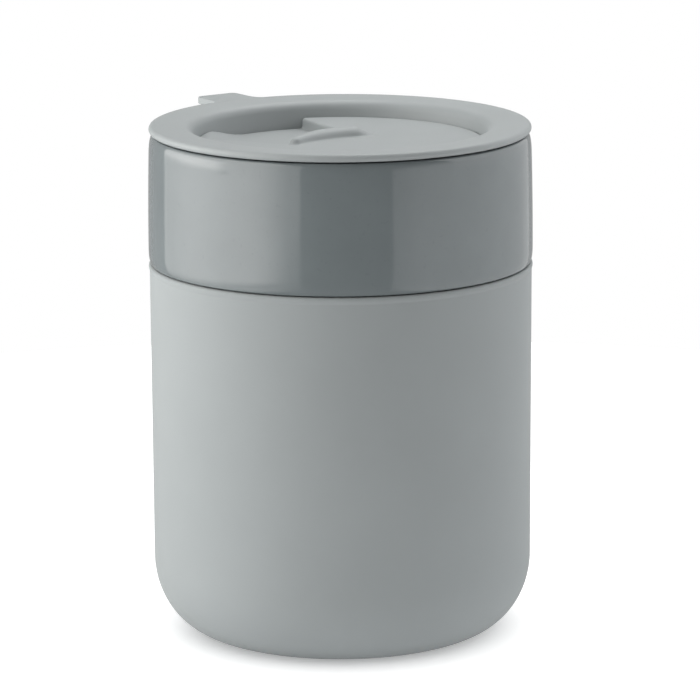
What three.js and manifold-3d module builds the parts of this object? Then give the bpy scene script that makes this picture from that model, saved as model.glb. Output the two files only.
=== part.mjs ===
// Ceramic travel mug: a glazed cup in a silicone sleeve, closed by a push-in lid.
// A shutter disc in the lid turns to bring its port over the sip slot.
// Millimetres, +Z up, origin at the centre of the base. The lid's lift tab is at the rear left.
import * as THREE from 'three';
import { mergeVertices } from 'three/addons/utils/BufferGeometryUtils.js';
import Module from 'manifold-3d';

const wasm = await Module();
wasm.setup();

// Facets of a full turn, of a small round and of a seal's cord, and steps along a small and a large rounding
const turnFacets = 48;
const pinFacets = 24;
const cordFacets = 8;
const edgeSteps = 5;
const bendSteps = 8;

// Room left between pieces that meet
const sleeveFit = 0.3;
const brimFit = 0.3;
const sealFit = 0.25;
const shutterFit = 0.3;
const pivotFit = 0.3;
const gasketFit = 0.2;

// Silicone sleeve
const sleeveRadius = 42;
const sleeveDraft = 0.15;
const sleeveHeight = 82.6;
const sleeveWall = 1.9;
const sleeveFloor = 2.2;
const sleeveLip = 0.6;
const lipProud = 0.2;
const lipRise = 1.4;
const baseRound = 13.55;
const baseRise = 16.7;

// Ceramic cup: the glossy band above the sleeve, the rim, the mouth and the well
const cupHeight = 111.1;
const bandProud = 0.2;
const bandFootInset = 0.5;
const bandFootRise = 3;
const bandLean = 0.3;
const rimInset = 1.1;
const rimRise = 4;
const bandWall = 4.9;
const mouthRound = 1.3;
const mouthDepth = 15;
const mouthSlope = 10;
const cupWall = 3.6;
const cupFloor = 4.6;
const wellRound = 12;

// Lid body: brim, lift tab, bowl, floor and plug
const brimInset = 0.35;
const brimThickness = 1.7;
const brimDish = 0.25;
const brimHaunch = 2;
const tabAngle = 124;
const tabReach = 9.1;
const tabWidth = 10.5;
const tabThickness = 1.6;
const tabDrop = 0.1;
const tabCorner = 1.6;
const tabBlend = 4;
const bowlRoll = 2;
const bowlFlare = 1.3;
const sealReach = 3.1;
const plugWall = 3;
const plugSkirt = 2.6;
const plugChamfer = 0.6;
const lidFloor = 2.4;

// Lid seal: a ring in a groove of the plug, with fins that reach the cup's mouth
const sealDrop = 4;
const sealHeight = 4;
const sealGroove = 1;
const sealBody = 1.3;
const finThickness = 0.9;
const finRise = 0.7;

// Shutter disc, closed as it lies: its rib runs across the line from tab to sip slot
const shutterDrop = 3.65;
const shutterThickness = 3.5;
const shutterEdge = 0.4;
const shutterTurn = 55;

// Sip slot, opposite the tab, and the gasket round it
const slotInset = 5.6;
const slotWidth = 6;
const slotSpan = 16;
const gasketInset = 0.8;
const gasketWidth = 1.2;
const gasketHeight = 1;

// Thumb rib: an arc on the disc, slim and round at its left end, fading out at its right; widths are shares
const ribCentreX = 10;
const ribCentreY = -16;
const ribBend = 22.3;
const ribStart = 155.5;
const ribEnd = 92.6;
const ribHalfWidth = 2.4;
const ribHeight = 2.05;
const ribTipHeight = 1.5;
const ribTipWidth = 0.62;
const ribRiseLength = 11;
const ribRoundLength = 1.6;
const ribFadeLength = 6.2;
const ribFadeCurve = 1.7;
const ribTailWidth = 0.6;
const ribSteps = 20;

// Thumb scoop behind the rib, from the step at its right to the ramp at its left
const scoopDepth = 2.35;
const stepAngle = 107;
const stepAtRib = 106;
const stepCorner = 2.4;
const scoopFrontAngle = 173;
const rampInset = 2.4;
const rampLength = 5.6;
const rampBlend = 2.4;

// Pivot post that snaps through the lid's floor, its O-ring, and the peg that stops the turn
const postRadius = 2.8;
const barbReach = 0.9;
const barbHeight = 1.5;
const postSplit = 1.2;
const ringCord = 1.2;
const pegRadius = 1;
const pegLength = 0.9;
const pegOrbit = 12;
const pegAngle = 20;

// Heights and radii that follow from the sizes above
const baseRadius = sleeveRadius - sleeveDraft - baseRound;
const lipRadius = sleeveRadius + lipProud;
const cupRadius = sleeveRadius - sleeveWall - sleeveFit;
const cupFoot = sleeveFloor + sleeveFit;
const cupShoulder = sleeveHeight + sleeveFit;
const bandRadius = sleeveRadius + bandProud;
const mouthRadius = bandRadius - bandWall;
const wellRadius = cupRadius - cupWall;
const brimRadius = bandRadius - brimInset;
const brimUnder = cupHeight + brimFit;
const brimTop = brimUnder + brimThickness;
const bowlMouth = brimTop - brimDish;
const plugRadius = mouthRadius - sealReach;
const bowlRadius = plugRadius - plugWall;
const shutterTop = brimTop - shutterDrop;
const shutterBottom = shutterTop - shutterThickness;
const floorTop = shutterBottom - shutterFit;
const floorBottom = floorTop - lidFloor;
const plugBottom = floorBottom - plugSkirt;
const grooveTop = brimUnder - sealDrop;
const grooveBottom = grooveTop - sealHeight;
const grooveRadius = plugRadius - sealGroove;
const pivotHole = postRadius + pivotFit;
const ringRadius = postRadius + sealFit + ringCord / 2;
const ringSeatRadius = ringRadius + ringCord / 2 + sealFit;
const ringSeat = floorTop - ringCord - sealFit;
const slotAngle = tabAngle + 180;
const slotRadius = bowlRadius - slotInset;
const rampTop = bowlRadius - rampInset;
const scoopFloor = shutterTop - scoopDepth;

const silicone = { color: 0x9da4a4, roughness: 0.75, metalness: 0 };
const glaze = { color: 0x7b8486, roughness: 0.12, metalness: 0 };
const softPlastic = { color: 0xa2a9a9, roughness: 0.6, metalness: 0 };
const clearSilicone = { color: 0xd5d9d8, roughness: 0.5, metalness: 0 };

const radians = THREE.MathUtils.degToRad;

function polar(radius, angle) {
  return new THREE.Vector2(radius * Math.cos(radians(angle)), radius * Math.sin(radians(angle)));
}

// Points of an elliptical arc in a profile, angles in degrees
function roundEdge(x, y, radiusX, radiusY, from, to, steps = edgeSteps) {
  const clockwise = to < from;
  const curve = new THREE.EllipseCurve(x, y, radiusX, radiusY, radians(from), radians(to), clockwise);
  return curve.getPoints(steps);
}

function point(x, y) {
  return new THREE.Vector2(x, y);
}

// A closed mesh as a solid that can be joined and cut
function solid(geometry) {
  const bare = geometry.clone();
  bare.deleteAttribute('normal');
  bare.deleteAttribute('uv');
  const merged = mergeVertices(bare);
  const index = merged.index.array;
  const triVerts = [];
  for (let i = 0; i < index.length; i += 3) {
    const [a, b, c] = index.slice(i, i + 3);
    if (a !== b && b !== c && c !== a) {
      triVerts.push(a, b, c);
    }
  }
  return new wasm.Manifold(new wasm.Mesh({
    numProp: 3,
    vertProperties: new Float32Array(merged.attributes.position.array),
    triVerts: new Uint32Array(triVerts),
  }));
}

// A profile of (radius, height) points turned about the Z axis
function turned(profile, facets = turnFacets) {
  return solid(new THREE.LatheGeometry(profile, facets).rotateX(Math.PI / 2));
}

// A ring-shaped profile, closed on itself
function turnedRing(profile, facets = turnFacets) {
  return turned([...profile, profile[0].clone()], facets);
}

// A plan outline raised from one height to another
function raised(shape, bottom, top) {
  const settings = { depth: top - bottom, bevelEnabled: false, curveSegments: edgeSteps };
  return solid(new THREE.ExtrudeGeometry(shape, settings).translate(0, 0, bottom));
}

function pin(radius, bottom, top) {
  const geometry = new THREE.CylinderGeometry(radius, radius, top - bottom, pinFacets);
  return solid(geometry.rotateX(Math.PI / 2).translate(0, 0, (bottom + top) / 2));
}

// Closed rings of points, joined into one body with a flat cap at each end
function lofted(rings) {
  const size = rings[0].length;
  const positions = rings.flat().flatMap((p) => [p.x, p.y, p.z]);
  const index = [];
  for (let r = 0; r + 1 < rings.length; r += 1) {
    for (let i = 0; i < size; i += 1) {
      const a = r * size + i;
      const b = r * size + ((i + 1) % size);
      index.push(a, b, a + size, b, b + size, a + size);
    }
  }
  const last = (rings.length - 1) * size;
  for (let i = 1; i + 1 < size; i += 1) {
    index.push(0, i + 1, i);
    index.push(last, last + i, last + i + 1);
  }
  const geometry = new THREE.BufferGeometry();
  geometry.setAttribute('position', new THREE.Float32BufferAttribute(positions, 3));
  geometry.setIndex(index);
  return solid(geometry);
}

function named(name, body, look) {
  const { vertProperties, triVerts } = body.getMesh();
  const geometry = new THREE.BufferGeometry();
  geometry.setAttribute('position', new THREE.BufferAttribute(vertProperties, 3));
  geometry.setIndex(new THREE.BufferAttribute(triVerts, 1));
  geometry.computeVertexNormals();
  const mesh = new THREE.Mesh(geometry, new THREE.MeshStandardMaterial(look));
  mesh.name = name;
  return mesh;
}

// A curved slot: a stretch of a circle with round ends
function slotShape(radius, halfWidth, from, to) {
  const a = radians(from);
  const b = radians(to);
  const shape = new THREE.Shape();
  shape.absarc(0, 0, radius + halfWidth, a, b, false);
  shape.absarc(radius * Math.cos(b), radius * Math.sin(b), halfWidth, b, b + Math.PI, false);
  shape.absarc(0, 0, radius - halfWidth, b, a, true);
  shape.absarc(radius * Math.cos(a), radius * Math.sin(a), halfWidth, a + Math.PI, a + 2 * Math.PI, false);
  return shape;
}

// The sip slot's outline, grown by a margin all round and centred on an angle
function sipShape(angle, margin) {
  return slotShape(slotRadius, slotWidth / 2 + margin, angle - slotSpan / 2, angle + slotSpan / 2);
}

function siliconeSleeve() {
  const foot = sleeveRadius - sleeveDraft;
  const inside = cupRadius + sleeveFit;
  return turned([
    point(0, 0),
    ...roundEdge(baseRadius, baseRise, foot - baseRadius, baseRise, -90, 0, bendSteps),
    point(sleeveRadius, sleeveHeight - lipRise),
    ...roundEdge(lipRadius - sleeveLip, sleeveHeight - sleeveLip, sleeveLip, sleeveLip, 0, 90),
    point(inside, sleeveHeight),
    ...roundEdge(baseRadius, baseRise, inside - baseRadius, baseRise - sleeveFloor, 0, -90, bendSteps),
    point(0, sleeveFloor),
  ]);
}

function ceramicCup() {
  const bandFoot = cupShoulder + bandFootRise;
  const rimStart = cupHeight - rimRise;
  const slopeTop = cupHeight - mouthDepth;
  const wellFloor = cupFoot + cupFloor;
  const leaning = point(bandRadius - bandLean, rimStart);
  const lean = new THREE.QuadraticBezierCurve(
    point(bandRadius, bandFoot),
    point(bandRadius, (bandFoot + rimStart) / 2),
    leaning,
  );
  const rim = new THREE.QuadraticBezierCurve(
    leaning,
    point(leaning.x - (2 * bandLean * rimRise) / (rimStart - bandFoot), cupHeight),
    point(leaning.x - rimInset, cupHeight),
  );
  return turned([
    point(0, cupFoot),
    ...roundEdge(baseRadius, baseRise, cupRadius - baseRadius, baseRise - cupFoot, -90, 0, bendSteps),
    point(cupRadius, cupShoulder),
    ...roundEdge(bandRadius - bandFootInset, bandFoot, bandFootInset, bandFootRise, -90, 0),
    ...lean.getPoints(edgeSteps).slice(1),
    ...rim.getPoints(edgeSteps).slice(1),
    ...roundEdge(mouthRadius + mouthRound, cupHeight - mouthRound, mouthRound, mouthRound, 90, 180),
    point(mouthRadius, slopeTop),
    point(wellRadius, slopeTop - mouthSlope),
    ...roundEdge(wellRadius - wellRound, wellFloor + wellRound, wellRound, wellRound, 0, -90, bendSteps),
    point(0, wellFloor),
  ]);
}

// Radius of the bowl's flared wall at a height
function bowlRadiusAt(height) {
  return bowlRadius + (bowlFlare * (height - floorTop)) / (bowlMouth - floorTop);
}

function liftTab() {
  const half = tabWidth / 2;
  const foot = half + tabBlend;
  const edge = Math.sqrt(brimRadius ** 2 - foot ** 2) - tabDrop;
  const root = edge - brimThickness / 2;
  const end = brimRadius + tabReach;
  const shape = new THREE.Shape();
  shape.moveTo(root, -foot);
  shape.lineTo(edge, -foot);
  shape.quadraticCurveTo(edge, -half, edge + tabBlend, -half);
  shape.lineTo(end - tabCorner, -half);
  shape.absarc(end - tabCorner, -half + tabCorner, tabCorner, -Math.PI / 2, 0, false);
  shape.absarc(end - tabCorner, half - tabCorner, tabCorner, 0, Math.PI / 2, false);
  shape.lineTo(edge + tabBlend, half);
  shape.quadraticCurveTo(edge, half, edge, foot);
  shape.lineTo(root, foot);
  const top = brimTop - tabDrop;
  return raised(shape, top - tabThickness, top).rotate([0, 0, tabAngle]);
}

function lidBody() {
  const edgeRound = brimThickness / 2;
  const brimEdge = brimRadius - edgeRound;
  const rollStart = bowlRadius + bowlFlare + bowlRoll;
  const rollEnd = bowlMouth - bowlRoll;
  const dish = new THREE.QuadraticBezierCurve(
    point(brimEdge, brimTop),
    point((brimEdge + rollStart) / 2, brimTop),
    point(rollStart, bowlMouth),
  );
  const dishSlope = (2 * brimDish) / (brimEdge - rollStart);
  const roll = new THREE.QuadraticBezierCurve(
    point(rollStart, bowlMouth),
    point(bowlRadius + bowlFlare, bowlMouth - dishSlope * bowlRoll),
    point(bowlRadiusAt(rollEnd), rollEnd),
  );
  const skirtInside = bowlRadius;
  const shell = turnedRing([
    point(pivotHole, floorBottom),
    point(skirtInside, floorBottom),
    point(skirtInside, plugBottom),
    point(plugRadius - plugChamfer, plugBottom),
    point(plugRadius, plugBottom + plugChamfer),
    point(plugRadius, grooveBottom),
    point(grooveRadius, grooveBottom),
    point(grooveRadius, grooveTop),
    point(plugRadius, grooveTop),
    point(plugRadius, brimUnder - brimHaunch),
    point(plugRadius + brimHaunch, brimUnder),
    ...roundEdge(brimEdge, brimUnder + edgeRound, edgeRound, edgeRound, -90, 90),
    ...dish.getPoints(edgeSteps).slice(1),
    ...roll.getPoints(edgeSteps).slice(1),
    point(bowlRadius, floorTop),
    point(ringSeatRadius, floorTop),
    point(ringSeatRadius, ringSeat),
    point(pivotHole, ringSeat),
  ]);
  const below = floorBottom - lidFloor;
  const above = floorTop + lidFloor;
  const slot = raised(sipShape(slotAngle, 0), below, above);
  const seatOutside = sipShape(slotAngle, gasketInset + gasketWidth + gasketFit);
  const seatInside = sipShape(slotAngle, gasketInset - gasketFit);
  const gasketSeat = raised(seatOutside, floorTop - gasketHeight - gasketFit, above - gasketFit)
    .subtract(raised(seatInside, below, above));
  const pegTrack = raised(
    slotShape(pegOrbit, pegRadius + pivotFit, pegAngle, pegAngle + shutterTurn),
    shutterBottom - pegLength - pivotFit,
    above,
  );
  return shell.add(liftTab()).subtract(slot).subtract(gasketSeat).subtract(pegTrack);
}

function lidSeal() {
  const inside = grooveRadius + sealFit;
  const bodyRadius = plugRadius + sealBody;
  const finRadius = mouthRadius - sealFit;
  const bottom = grooveBottom + sealFit;
  const top = grooveTop - sealFit;
  return turnedRing([
    point(inside, bottom),
    point(bodyRadius, bottom),
    point(finRadius, bottom + finRise),
    point(finRadius, bottom + finRise + finThickness / 2),
    point(bodyRadius, bottom + finThickness),
    point(bodyRadius, top - finThickness - finRise),
    point(finRadius, top - finThickness / 2),
    point(finRadius, top),
    point(bodyRadius, top - finRise),
    point(bodyRadius - sealBody, top),
    point(inside, top),
  ]);
}

function ribPoint(angle) {
  return point(ribCentreX, ribCentreY).add(polar(ribBend, angle));
}

// The rib's height, and its width as a share of the full one, at a distance along it
function ribSwell(along, length) {
  const rounded = Math.min(along / ribRoundLength, 1);
  const fading = Math.min((length - along) / ribFadeLength, 1);
  const round = Math.sqrt(1 - (1 - rounded) ** 2);
  const fade = fading ** ribFadeCurve;
  const rise = THREE.MathUtils.smoothstep(along, 0, ribRiseLength);
  const crest = THREE.MathUtils.lerp(ribTipHeight, ribHeight, rise);
  const taper = THREE.MathUtils.lerp(ribTipWidth, 1, rise) * THREE.MathUtils.lerp(ribTailWidth, 1, fade);
  return { height: round * fade * crest, width: round * taper };
}

function thumbRib() {
  const length = ribBend * radians(ribStart - ribEnd);
  const ribRoot = (scoopFloor + shutterBottom) / 2;
  const rings = [];
  for (let step = 0; step <= ribSteps; step += 1) {
    const share = (step + 0.5) / (ribSteps + 1);
    const angle = ribStart + (ribEnd - ribStart) * share;
    const centre = ribPoint(angle);
    const outward = polar(1, angle);
    const swell = ribSwell(share * length, length);
    const half = ribHalfWidth * swell.width;
    const over = roundEdge(0, shutterTop, half, swell.height, 0, 180);
    const section = [point(half, ribRoot), ...over, point(-half, ribRoot)];
    rings.push(section.map((p) => {
      const place = centre.clone().addScaledVector(outward, p.x);
      return new THREE.Vector3(place.x, place.y, p.y);
    }));
  }
  return lofted(rings);
}

// The scoop's plan outline cut by its side view: a level floor and a ramp at the left
function thumbScoop() {
  const beyond = bowlRadius + bowlFlare;
  const discEdge = bowlRadiusAt(shutterTop) - shutterFit;
  const corner = polar(discEdge, stepAngle);
  const inward = ribPoint(stepAtRib).sub(corner).setLength(stepCorner);
  const cornerAngle = stepAngle - THREE.MathUtils.radToDeg(stepCorner / discEdge);
  const rounding = new THREE.QuadraticBezierCurve(
    polar(discEdge, cornerAngle),
    corner,
    corner.clone().add(inward),
  );
  const plan = [polar(2 * beyond, cornerAngle), ...rounding.getPoints(edgeSteps)];
  for (let step = 0; step <= ribSteps; step += 1) {
    plan.push(ribPoint(stepAtRib + ((ribStart - stepAtRib) * step) / ribSteps));
  }
  plan.push(polar(beyond, scoopFrontAngle), polar(2 * beyond, scoopFrontAngle));
  const above = shutterTop + ribHeight;
  const slope = rampLength / scoopDepth;
  const toe = rampLength - rampTop;
  const side = new THREE.Shape();
  side.moveTo(-rampTop - slope * ribHeight, above);
  side.lineTo(toe - rampBlend, scoopFloor + rampBlend / slope);
  side.quadraticCurveTo(toe, scoopFloor, toe + rampBlend, scoopFloor);
  side.lineTo(beyond, scoopFloor);
  side.lineTo(beyond, above);
  const settings = { depth: 4 * beyond, bevelEnabled: false, curveSegments: edgeSteps };
  const swept = new THREE.ExtrudeGeometry(side, settings);
  swept.rotateX(Math.PI / 2).translate(0, 2 * beyond, 0);
  return raised(new THREE.Shape(plan), scoopFloor - scoopDepth, above).intersect(solid(swept));
}

function shutterDisc() {
  const lower = bowlRadiusAt(shutterBottom) - shutterFit;
  const upper = bowlRadiusAt(shutterTop) - shutterFit;
  const plate = turned([
    point(0, shutterBottom),
    point(lower - shutterEdge, shutterBottom),
    point(lower, shutterBottom + shutterEdge),
    point(upper, shutterTop - shutterEdge),
    point(upper - shutterEdge, shutterTop),
    point(0, shutterTop),
  ]);
  const port = raised(
    sipShape(slotAngle - shutterTurn, 0),
    shutterBottom - shutterThickness,
    shutterTop + shutterThickness,
  );
  const rooted = shutterBottom + shutterThickness / 4;
  const barbTop = floorBottom - pivotFit;
  const barbBottom = barbTop - barbHeight;
  const barbRadius = postRadius + barbReach;
  const post = turned([
    point(0, barbBottom),
    point(postRadius, barbBottom),
    point(barbRadius, barbTop - barbReach / 2),
    point(barbRadius, barbTop),
    point(postRadius, barbTop),
    point(postRadius, rooted),
    point(0, rooted),
  ], pinFacets);
  const splitTop = floorBottom + lidFloor / 2;
  const splitBottom = barbBottom - barbHeight;
  const split = solid(new THREE.BoxGeometry(postSplit, 4 * barbRadius, splitTop - splitBottom)
    .translate(0, 0, (splitTop + splitBottom) / 2));
  const pegPlace = polar(pegOrbit, pegAngle);
  const peg = pin(pegRadius, shutterBottom - pegLength, rooted).translate([pegPlace.x, pegPlace.y, 0]);
  return plate.subtract(thumbScoop()).add(thumbRib()).subtract(port).add(post.subtract(split)).add(peg);
}

function sipGasket() {
  const bottom = floorTop - gasketHeight;
  const outer = raised(sipShape(slotAngle, gasketInset + gasketWidth), bottom, floorTop);
  const inner = raised(sipShape(slotAngle, gasketInset), bottom - gasketHeight, floorTop + gasketHeight);
  return outer.subtract(inner);
}

function pivotRing() {
  const height = floorTop - ringCord / 2;
  const torus = new THREE.TorusGeometry(ringRadius, ringCord / 2, cordFacets, pinFacets);
  return solid(torus.translate(0, 0, height));
}

const mug = new THREE.Group();
mug.add(
  named('silicone_sleeve', siliconeSleeve(), silicone),
  named('ceramic_cup', ceramicCup(), glaze),
  named('lid_body', lidBody(), softPlastic),
  named('lid_seal', lidSeal(), clearSilicone),
  named('shutter_disc', shutterDisc(), softPlastic),
  named('sip_gasket', sipGasket(), clearSilicone),
  named('pivot_o_ring', pivotRing(), clearSilicone),
);

export default mug;
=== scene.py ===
"""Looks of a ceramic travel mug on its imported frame: silicone sleeve, glazed cup, lid, shutter and seals."""
import math
from typing import NamedTuple

import bpy
from bpy.props import FloatProperty, FloatVectorProperty, PointerProperty
from mathutils import Euler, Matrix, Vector


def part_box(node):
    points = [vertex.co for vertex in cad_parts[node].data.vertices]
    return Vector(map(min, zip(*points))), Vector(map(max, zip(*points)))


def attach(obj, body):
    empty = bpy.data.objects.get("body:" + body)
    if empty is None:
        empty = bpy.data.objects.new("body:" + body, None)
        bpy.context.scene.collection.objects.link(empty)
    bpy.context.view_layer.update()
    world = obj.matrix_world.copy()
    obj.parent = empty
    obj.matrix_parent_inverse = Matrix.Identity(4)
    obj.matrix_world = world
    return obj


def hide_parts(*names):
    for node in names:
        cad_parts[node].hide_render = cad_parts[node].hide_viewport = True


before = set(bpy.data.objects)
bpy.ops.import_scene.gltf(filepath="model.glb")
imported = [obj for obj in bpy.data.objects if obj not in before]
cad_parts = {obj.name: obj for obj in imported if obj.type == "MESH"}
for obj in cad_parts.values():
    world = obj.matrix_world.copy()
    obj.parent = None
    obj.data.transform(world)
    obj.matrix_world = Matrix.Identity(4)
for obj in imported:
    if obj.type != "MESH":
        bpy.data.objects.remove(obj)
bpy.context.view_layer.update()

bl_info = {
    "name": "Ceramic Travel Mug",
    "version": (1, 0, 0),
    "blender": (4, 5, 0),
    "location": "View3D > Sidebar > Mug",
    "description": "Models the mug's sleeve, cup, lid, shutter and seals, and the studio they stand in",
    "category": "Mesh",
}

MM = 0.001
SPIN_STEPS = 192
SMALL_SPIN_STEPS = 64
ARC_STEPS = 10
SMOOTH_ANGLE = math.radians(32)
MERGE_GAP = 0.002 * MM
# How far the sleeve's lip stands out from its wall, in millimetres
LIP_PROUD = 0.2


def linear(hex_colour):
    """An sRGB hex colour as linear red, green and blue."""
    channels = [int(hex_colour[i:i + 2], 16) / 255 for i in (0, 2, 4)]
    return tuple(c / 12.92 if c <= 0.04045 else ((c + 0.055) / 1.055) ** 2.4 for c in channels)


def size(name, description, millimetres):
    """A length that a user may change."""
    return FloatProperty(
        name=name, description=description, default=millimetres * MM, min=0, precision=5, unit="LENGTH"
    )


def turn(name, description, degrees):
    """An angle that a user may change."""
    return FloatProperty(
        name=name, description=description, default=math.radians(degrees), subtype="ANGLE"
    )


def colour(name, description, hex_colour):
    """A colour that a user may change."""
    return FloatVectorProperty(
        name=name, description=description, default=linear(hex_colour), min=0, max=1, size=3, subtype="COLOR"
    )


def brightness(name, description, value):
    """A brightness that a user may change."""
    return FloatProperty(name=name, description=description, default=value, min=0)


def reach_of(node):
    """How far a node reaches from the mug's axis, in millimetres."""
    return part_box(node)[1].x / MM


def top_of(node):
    """The height of a node's top, in millimetres."""
    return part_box(node)[1].z / MM


def bottom_of(node):
    """The height of a node's underside, in millimetres."""
    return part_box(node)[0].z / MM


class SleeveSizes(bpy.types.PropertyGroup):
    radius: size("Radius", "Outer radius of the wall", reach_of("silicone_sleeve") - LIP_PROUD)
    height: size("Height", "Height of the lip above the table", top_of("silicone_sleeve"))
    draft: size("Draft", "How much narrower the wall is at its foot", 0.15)
    wall: size("Wall", "Thickness of the wall", 1.9)
    floor: size("Floor", "Thickness of the floor", 2.2)
    lip: size("Lip round", "Rounding of the lip's outer edge", 0.6)
    lip_proud: size("Lip proud", "How far the lip stands out from the wall", LIP_PROUD)
    lip_rise: size("Lip rise", "Height of the lip's swell", 1.7)
    base_round: size("Base round", "How far the base's rounding comes in from the wall", 13.55)
    base_rise: size("Base rise", "How high the base's rounding comes up the wall", 16.7)


class CupSizes(bpy.types.PropertyGroup):
    radius: size("Band radius", "Outer radius of the glazed band", reach_of("ceramic_cup"))
    height: size("Height", "Height of the rim above the table", top_of("ceramic_cup"))
    foot: size("Foot", "Height of the foot above the table", bottom_of("ceramic_cup"))
    sleeve_gap: size("Gap to sleeve", "Room left between the cup and its sleeve", 0.3)
    foot_inset: size("Band foot inset", "How far the band's lower edge rounds in", 0.5)
    foot_rise: size("Band foot rise", "How high the band's lower edge rounds up", 3.0)
    lean: size("Band lean", "How far the band leans in towards its rim", 0.3)
    rim_inset: size("Rim inset", "How far the rim's outer edge rounds in", 1.1)
    rim_drop: size("Rim drop", "How far down the rim's outer edge rounds", 4.0)
    band_wall: size("Band wall", "Thickness of the wall at the band", 4.9)
    mouth_round: size("Mouth round", "Rounding of the rim's inner edge", 1.3)
    mouth_depth: size("Mouth depth", "Depth of the straight mouth that takes the lid", 15)
    mouth_slope: size("Mouth slope", "Height of the slope from mouth to well", 10)
    wall: size("Wall", "Thickness of the wall inside the sleeve", 3.6)
    floor: size("Floor", "Thickness of the floor", 4.6)
    well_round: size("Well round", "Rounding at the bottom of the well", 12)


class LidSizes(bpy.types.PropertyGroup):
    top: size("Top", "Height of the brim's edge above the table", top_of("lid_body"))
    bottom: size("Bottom", "Height of the plug's lower edge above the table", bottom_of("lid_body"))
    brim_inset: size("Brim inset", "How far the brim stays inside the band", 0.35)
    brim: size("Brim", "Thickness of the brim", 1.7)
    dish: size("Dish", "How far the brim dips from its edge to the bowl", 0.25)
    haunch: size("Haunch", "Slope that carries the brim on the plug", 2.0)
    plug_radius: size("Plug radius", "Outer radius of the plug", 34.2)
    plug_wall: size("Plug wall", "Thickness of the plug's wall", 3.0)
    floor: size("Floor", "Thickness of the lid's floor", 2.4)
    flare: size("Flare", "How much wider the bowl is at its mouth", 1.3)
    roll: size("Roll", "Rounding from the brim into the bowl", 2.0)
    groove: size("Groove", "Depth of the seal's groove", 1.0)
    groove_drop: size("Groove drop", "Distance from the brim down to the groove", 4.0)
    groove_height: size("Groove height", "Height of the groove", 4.0)
    edge: size("Edge", "Small rounding of the lid's moulded edges", 0.3)
    tab_angle: turn("Tab angle", "Direction of the lift tab", 124)
    tab_reach: size("Tab reach", "How far the tab stands out from the brim", 9.1)
    tab_width: size("Tab width", "Width of the tab", 10.5)
    tab: size("Tab", "Thickness of the tab", 1.6)
    tab_drop: size("Tab drop", "How far the tab's top lies below the brim's edge", 0.1)
    tab_blend: size("Tab blend", "Rounding where the tab leaves the brim", 4.0)
    tab_corner: size("Tab corner", "Rounding of the tab's free corners", 1.6)


class ShutterSizes(bpy.types.PropertyGroup):
    drop: size("Drop", "Depth of the disc's top below the brim's edge", 3.65)
    thickness: size("Thickness", "Thickness of the disc", 3.5)
    gap: size("Gap", "Room left round and under the disc", 0.3)
    edge: size("Edge", "Rounding of the disc's edge", 0.4)
    slot_inset: size("Slot inset", "Distance of the sip slot's middle from the bowl's wall", 5.6)
    slot_width: size("Slot width", "Width of the sip slot", 6.0)
    slot_span: turn("Slot span", "Angle that the sip slot's middle line takes", 16)
    shut_turn: turn("Turn", "Turn from shut to open", 55)
    rib_bend: size("Rib bend", "Radius of the thumb rib's middle line", 22.3)
    rib: size("Rib", "Half the width of the thumb rib", 2.4)
    rib_height: size("Rib height", "Height of the thumb rib above the disc", 2.05)
    rib_tip: size("Rib tip", "Height of the thumb rib at its left end", 1.5)
    scoop: size("Scoop", "Depth of the thumb scoop", 2.35)
    post: size("Post", "Radius of the pivot post", 2.8)
    peg: size("Peg", "Radius of the stop peg", 1.0)
    grain: size("Blend grain", "Grain at which the moulded blends are formed", 0.28)


class SealSizes(bpy.types.PropertyGroup):
    play: size("Play", "Room left round a seal in its groove", 0.25)
    body: size("Body", "How far the lid seal's body stands out of its groove", 1.3)
    fin: size("Fin", "Thickness of a fin", 0.9)
    fin_rise: size("Fin rise", "How far a fin sweeps upwards", 0.7)
    gasket: size("Gasket", "Width of the sip slot's gasket", 1.2)
    gasket_inset: size("Gasket inset", "Distance of the gasket from the slot's edge", 0.8)
    gasket_height: size("Gasket height", "Height of the gasket", 1.0)
    cord: size("Cord", "Thickness of the pivot's ring", 1.2)


class MugFinishes(bpy.types.PropertyGroup):
    sleeve: colour("Sleeve", "Silicone of the sleeve", "8c9192")
    glaze: colour("Glaze", "Glaze of the cup", "6a7173")
    bisque: colour("Bisque", "Bare clay under the foot", "b9b1a4")
    lid: colour("Lid", "Plastic of the lid and shutter", "8f9495")
    seal: colour("Seal", "Silicone of the seals", "d3d6d4")


class StudioSettings(bpy.types.PropertyGroup):
    floor_radius: size("Table radius", "Radius of the round table", 300)
    key: brightness("Key", "Brightness of the left softbox", 3.15)
    lamp: brightness("Lamp", "Brightness of the left softbox before its lamp", 5.3)
    fill: brightness("Fill", "Brightness of the right softbox", 1.16)
    card: brightness("Card", "Brightness of the low card at the front right", 1.16)
    top: brightness("Top", "Brightness of the panel above", 3.65)
    room: brightness("Room", "Brightness of the room behind the object", 0.42)
    table_light: FloatProperty(
        name="Table light", description="Power of the light that only the table takes",
        default=32, min=0, unit="POWER",
    )
    table_glow: brightness("Table glow", "Light through the opal table", 0.31)
    lens: FloatProperty(name="Lens", description="Focal length", default=221, min=1, unit="CAMERA")
    camera_place: FloatVectorProperty(
        name="Camera", description="Where the camera stands",
        default=(0, -0.92826, 0.26436), size=3, subtype="TRANSLATION",
    )
    camera_aim: FloatVectorProperty(
        name="Aim", description="Point that the camera looks at",
        default=(0.00193, 0, 0.0623), size=3, subtype="TRANSLATION",
    )
    camera_roll: turn("Roll", "Tilt of the camera about its line of sight", -0.3)


def add_node(tree, kind, inputs=None, **settings):
    """Add a shader node with its settings; an input is a value, or an output to link from."""
    node = tree.nodes.new(kind)
    for name, value in settings.items():
        setattr(node, name, value)
    for name, value in (inputs or {}).items():
        if isinstance(value, bpy.types.NodeSocket):
            tree.links.new(value, node.inputs[name])
        else:
            node.inputs[name].default_value = value
    return node


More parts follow.
